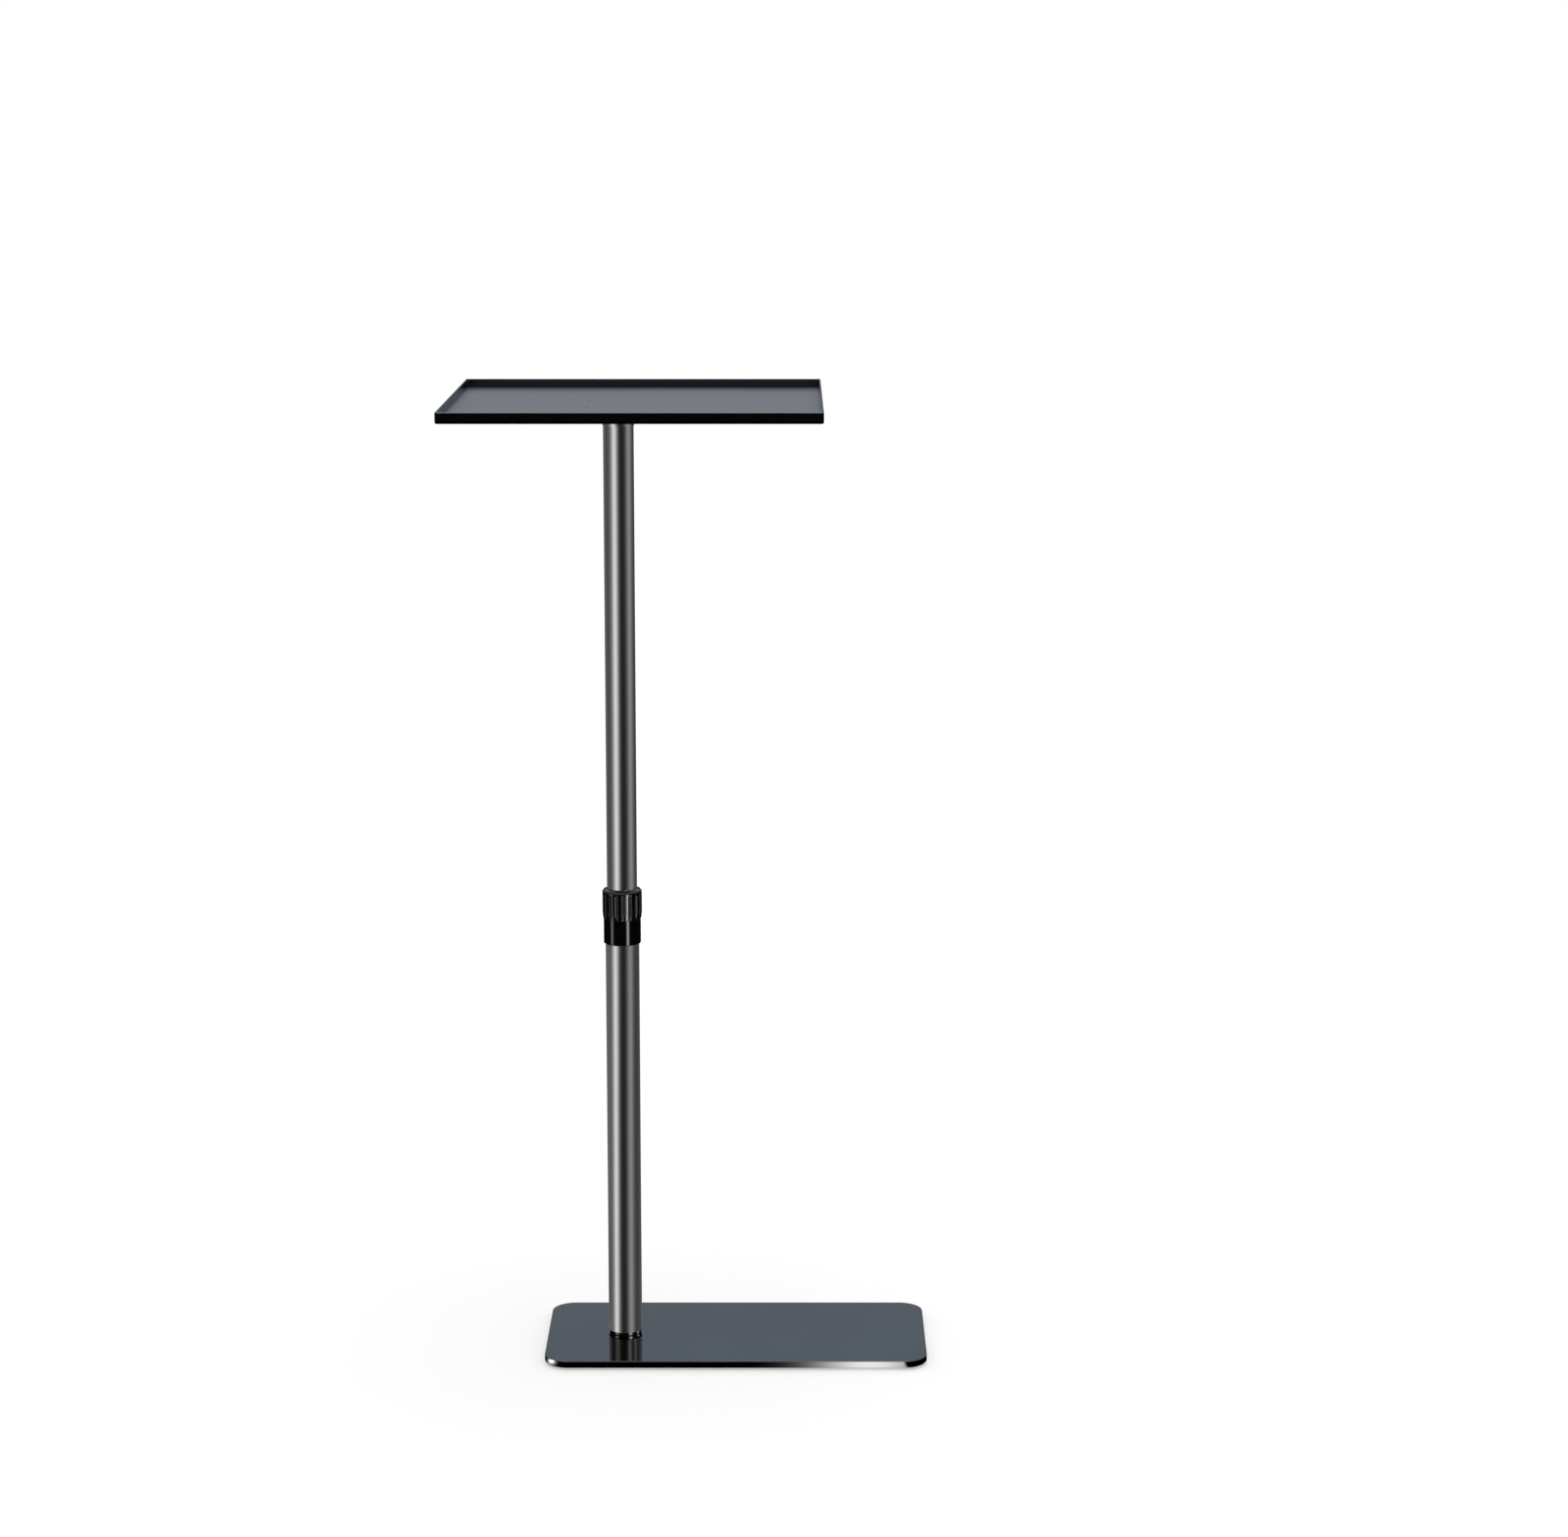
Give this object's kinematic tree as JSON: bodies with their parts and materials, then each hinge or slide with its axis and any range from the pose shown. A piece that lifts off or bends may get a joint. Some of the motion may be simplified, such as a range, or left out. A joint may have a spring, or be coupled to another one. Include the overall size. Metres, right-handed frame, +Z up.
{
  "type": "projector stand",
  "caption": "Free-standing projector stand: flat steel base with an off-centre telescopic column, a ribbed twist lock and a shallow square tray on top.",
  "frame": {"origin": "on the floor, under the middle of the whole outline", "axes": "+Z up along the column, +X to the right along the long side of the base, away from the column, +Y to the back"},
  "size_m": [0.388, 0.3, 0.8],
  "materials": {
    "base_finish": "gloss",
    "tray_finish": "satin",
    "hub_finish": "polished",
    "tube_finish": "polished",
    "lock_plastic": "gloss",
    "inner_plastic": "matte",
    "pad_rubber": "matte",
    "screw_steel": "satin"
  },
  "bodies": {
    "stand": {"foot_pad_front_left": "pad_rubber", "foot_pad_front_right": "pad_rubber", "foot_pad_back_left": "pad_rubber", "foot_pad_back_right": "pad_rubber", "base_plate": "base_finish", "column_bolt": "screw_steel", "foot_plug": "lock_plastic", "lower_tube": "tube_finish", "lock_sleeve": "lock_plastic"},
    "nut": {"lock_nut": "lock_plastic"},
    "collet": {"lock_collet": "inner_plastic"},
    "mast": {"guide_plug": "inner_plastic", "upper_tube": "tube_finish", "tray_hub": "hub_finish", "tray_pan": "tray_finish", "tray_screw_1": "screw_steel", "tray_screw_2": "screw_steel", "tray_screw_3": "screw_steel", "tray_screw_4": "screw_steel"}
  },
  "joints": [
    {"name": "lock_turn", "type": "hinge", "parent": "stand", "child": "nut", "pos_m": [-0.059, 0, 0.38], "axis": [0, 0, 1], "range_deg": [0, 180]},
    {"name": "tray_swivel", "type": "hinge", "parent": "stand", "child": "collet", "pos_m": [-0.059, 0, 0.38], "axis": [0, 0, 1], "continuous": true},
    {"name": "height_slide", "type": "slide", "parent": "collet", "child": "mast", "axis": [0, 0, 1], "range_m": [-0.21, 0.02]}
  ]
}
